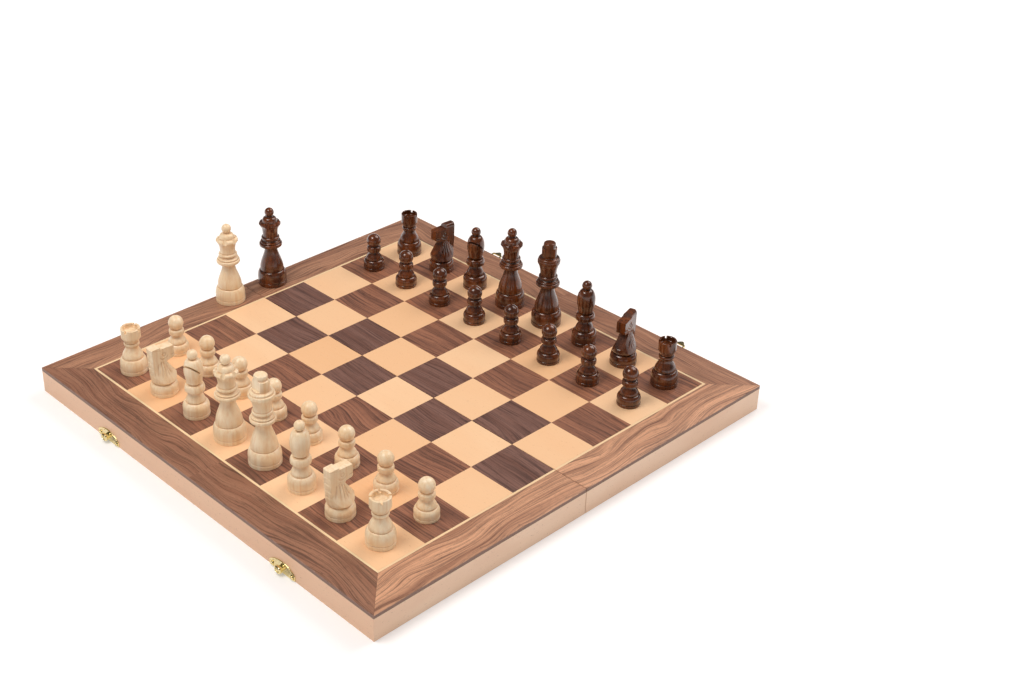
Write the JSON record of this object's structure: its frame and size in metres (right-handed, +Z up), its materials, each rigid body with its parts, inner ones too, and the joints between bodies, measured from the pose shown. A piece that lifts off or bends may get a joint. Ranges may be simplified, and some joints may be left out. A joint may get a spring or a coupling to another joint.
{
  "type": "chess set with board",
  "caption": "Folding wooden chess box open as a board, with inlaid squares, brass hinges and hasp latches, and turned wooden chessmen on it.",
  "frame": {"origin": "middle of the seam between the two halves, on the plane of the rims that the open board rests on", "axes": "+X from white's side to black's side, +Y towards the a-file, +Z up; the board folds about the Y axis"},
  "size_m": [0.4069, 0.38, 0.0931],
  "materials": {
    "rails": "satin lacquered beech",
    "panel": "dark stained edge",
    "border": "lacquered walnut veneer",
    "inlay": "lacquered light maple",
    "light_squares": "lacquered light veneer",
    "dark_squares": "lacquered walnut veneer",
    "brass": "polished brass plate",
    "white_men": "satin lacquered maple",
    "black_men": "gloss lacquered, stained dark brown"
  },
  "bodies": {
    "near_half": {"near_rails": "rails", "near_panel": "panel", "near_border": "border", "near_stringing": "inlay", "near_light_squares": "light_squares", "near_dark_squares": "dark_squares", "near_hinge_leaves": "brass", "hinge_pins": "brass", "near_hinge_screws": "brass", "catch_plates": "brass", "catch_screws": "brass"},
    "far_half": {"far_rails": "rails", "far_panel": "panel", "far_border": "border", "far_stringing": "inlay", "far_light_squares": "light_squares", "far_dark_squares": "dark_squares", "far_hinge_leaves": "brass", "far_hinge_screws": "brass", "latch_plates": "brass", "latch_pins": "brass", "latch_screws": "brass"},
    "left_hasp": {"left_hasp": "brass"},
    "right_hasp": {"right_hasp": "brass"},
    "white_rook_a": {"white_rook_a": "white_men"},
    "white_knight_b": {"white_knight_b": "white_men"},
    "white_bishop_c": {"white_bishop_c": "white_men"},
    "white_queen": {"white_queen": "white_men"},
    "white_king": {"white_king": "white_men"},
    "white_bishop_f": {"white_bishop_f": "white_men"},
    "white_knight_g": {"white_knight_g": "white_men"},
    "white_rook_h": {"white_rook_h": "white_men"},
    "white_spare_queen": {"white_spare_queen": "white_men"},
    "white_pawn_a": {"white_pawn_a": "white_men"},
    "white_pawn_b": {"white_pawn_b": "white_men"},
    "white_pawn_c": {"white_pawn_c": "white_men"},
    "white_pawn_d": {"white_pawn_d": "white_men"},
    "white_pawn_e": {"white_pawn_e": "white_men"},
    "white_pawn_f": {"white_pawn_f": "white_men"},
    "white_pawn_g": {"white_pawn_g": "white_men"},
    "white_pawn_h": {"white_pawn_h": "white_men"},
    "black_rook_a": {"black_rook_a": "black_men"},
    "black_knight_b": {"black_knight_b": "black_men"},
    "black_bishop_c": {"black_bishop_c": "black_men"},
    "black_queen": {"black_queen": "black_men"},
    "black_king": {"black_king": "black_men"},
    "black_bishop_f": {"black_bishop_f": "black_men"},
    "black_knight_g": {"black_knight_g": "black_men"},
    "black_rook_h": {"black_rook_h": "black_men"},
    "black_spare_queen": {"black_spare_queen": "black_men"},
    "black_pawn_a": {"black_pawn_a": "black_men"},
    "black_pawn_b": {"black_pawn_b": "black_men"},
    "black_pawn_c": {"black_pawn_c": "black_men"},
    "black_pawn_d": {"black_pawn_d": "black_men"},
    "black_pawn_e": {"black_pawn_e": "black_men"},
    "black_pawn_f": {"black_pawn_f": "black_men"},
    "black_pawn_g": {"black_pawn_g": "black_men"},
    "black_pawn_h": {"black_pawn_h": "black_men"}
  },
  "joints": [
    {"name": "board_fold", "type": "hinge", "parent": "near_half", "child": "far_half", "pos_m": [0, 0, 0], "axis": [0, 1, 0], "range_deg": [0, 180]},
    {"name": "left_hasp_swing", "type": "hinge", "parent": "far_half", "child": "left_hasp", "pos_m": [0.1923, 0.101, 0.0075], "axis": [0, 1, 0], "range_deg": [-80, 96]},
    {"name": "right_hasp_swing", "type": "hinge", "parent": "far_half", "child": "right_hasp", "pos_m": [0.1923, -0.101, 0.0075], "axis": [0, 1, 0], "range_deg": [-80, 96]},
    {"name": "white_rook_a_lift", "type": "slide", "parent": "near_half", "child": "white_rook_a", "axis": [0, 0, 1], "range_m": [0, 0.12]},
    {"name": "white_knight_b_lift", "type": "slide", "parent": "near_half", "child": "white_knight_b", "axis": [0, 0, 1], "range_m": [0, 0.12]},
    {"name": "white_bishop_c_lift", "type": "slide", "parent": "near_half", "child": "white_bishop_c", "axis": [0, 0, 1], "range_m": [0, 0.12]},
    {"name": "white_queen_lift", "type": "slide", "parent": "near_half", "child": "white_queen", "axis": [0, 0, 1], "range_m": [0, 0.12]},
    {"name": "white_king_lift", "type": "slide", "parent": "near_half", "child": "white_king", "axis": [0, 0, 1], "range_m": [0, 0.12]},
    {"name": "white_bishop_f_lift", "type": "slide", "parent": "near_half", "child": "white_bishop_f", "axis": [0, 0, 1], "range_m": [0, 0.12]},
    {"name": "white_knight_g_lift", "type": "slide", "parent": "near_half", "child": "white_knight_g", "axis": [0, 0, 1], "range_m": [0, 0.12]},
    {"name": "white_rook_h_lift", "type": "slide", "parent": "near_half", "child": "white_rook_h", "axis": [0, 0, 1], "range_m": [0, 0.12]},
    {"name": "white_spare_queen_lift", "type": "slide", "parent": "near_half", "child": "white_spare_queen", "axis": [0, 0, 1], "range_m": [0, 0.12]},
    {"name": "white_pawn_a_lift", "type": "slide", "parent": "near_half", "child": "white_pawn_a", "axis": [0, 0, 1], "range_m": [0, 0.12]},
    {"name": "white_pawn_b_lift", "type": "slide", "parent": "near_half", "child": "white_pawn_b", "axis": [0, 0, 1], "range_m": [0, 0.12]},
    {"name": "white_pawn_c_lift", "type": "slide", "parent": "near_half", "child": "white_pawn_c", "axis": [0, 0, 1], "range_m": [0, 0.12]},
    {"name": "white_pawn_d_lift", "type": "slide", "parent": "near_half", "child": "white_pawn_d", "axis": [0, 0, 1], "range_m": [0, 0.12]},
    {"name": "white_pawn_e_lift", "type": "slide", "parent": "near_half", "child": "white_pawn_e", "axis": [0, 0, 1], "range_m": [0, 0.12]},
    {"name": "white_pawn_f_lift", "type": "slide", "parent": "near_half", "child": "white_pawn_f", "axis": [0, 0, 1], "range_m": [0, 0.12]},
    {"name": "white_pawn_g_lift", "type": "slide", "parent": "near_half", "child": "white_pawn_g", "axis": [0, 0, 1], "range_m": [0, 0.12]},
    {"name": "white_pawn_h_lift", "type": "slide", "parent": "near_half", "child": "white_pawn_h", "axis": [0, 0, 1], "range_m": [0, 0.12]},
    {"name": "black_rook_a_lift", "type": "slide", "parent": "far_half", "child": "black_rook_a", "axis": [0, 0, 1], "range_m": [0, 0.12]},
    {"name": "black_knight_b_lift", "type": "slide", "parent": "far_half", "child": "black_knight_b", "axis": [0, 0, 1], "range_m": [0, 0.12]},
    {"name": "black_bishop_c_lift", "type": "slide", "parent": "far_half", "child": "black_bishop_c", "axis": [0, 0, 1], "range_m": [0, 0.12]},
    {"name": "black_queen_lift", "type": "slide", "parent": "far_half", "child": "black_queen", "axis": [0, 0, 1], "range_m": [0, 0.12]},
    {"name": "black_king_lift", "type": "slide", "parent": "far_half", "child": "black_king", "axis": [0, 0, 1], "range_m": [0, 0.12]},
    {"name": "black_bishop_f_lift", "type": "slide", "parent": "far_half", "child": "black_bishop_f", "axis": [0, 0, 1], "range_m": [0, 0.12]},
    {"name": "black_knight_g_lift", "type": "slide", "parent": "far_half", "child": "black_knight_g", "axis": [0, 0, 1], "range_m": [0, 0.12]},
    {"name": "black_rook_h_lift", "type": "slide", "parent": "far_half", "child": "black_rook_h", "axis": [0, 0, 1], "range_m": [0, 0.12]},
    {"name": "black_spare_queen_lift", "type": "slide", "parent": "far_half", "child": "black_spare_queen", "axis": [0, 0, 1], "range_m": [0, 0.12]},
    {"name": "black_pawn_a_lift", "type": "slide", "parent": "far_half", "child": "black_pawn_a", "axis": [0, 0, 1], "range_m": [0, 0.12]},
    {"name": "black_pawn_b_lift", "type": "slide", "parent": "far_half", "child": "black_pawn_b", "axis": [0, 0, 1], "range_m": [0, 0.12]},
    {"name": "black_pawn_c_lift", "type": "slide", "parent": "far_half", "child": "black_pawn_c", "axis": [0, 0, 1], "range_m": [0, 0.12]},
    {"name": "black_pawn_d_lift", "type": "slide", "parent": "far_half", "child": "black_pawn_d", "axis": [0, 0, 1], "range_m": [0, 0.12]},
    {"name": "black_pawn_e_lift", "type": "slide", "parent": "far_half", "child": "black_pawn_e", "axis": [0, 0, 1], "range_m": [0, 0.12]},
    {"name": "black_pawn_f_lift", "type": "slide", "parent": "far_half", "child": "black_pawn_f", "axis": [0, 0, 1], "range_m": [0, 0.12]},
    {"name": "black_pawn_g_lift", "type": "slide", "parent": "far_half", "child": "black_pawn_g", "axis": [0, 0, 1], "range_m": [0, 0.12]},
    {"name": "black_pawn_h_lift", "type": "slide", "parent": "far_half", "child": "black_pawn_h", "axis": [0, 0, 1], "range_m": [0, 0.12]}
  ]
}
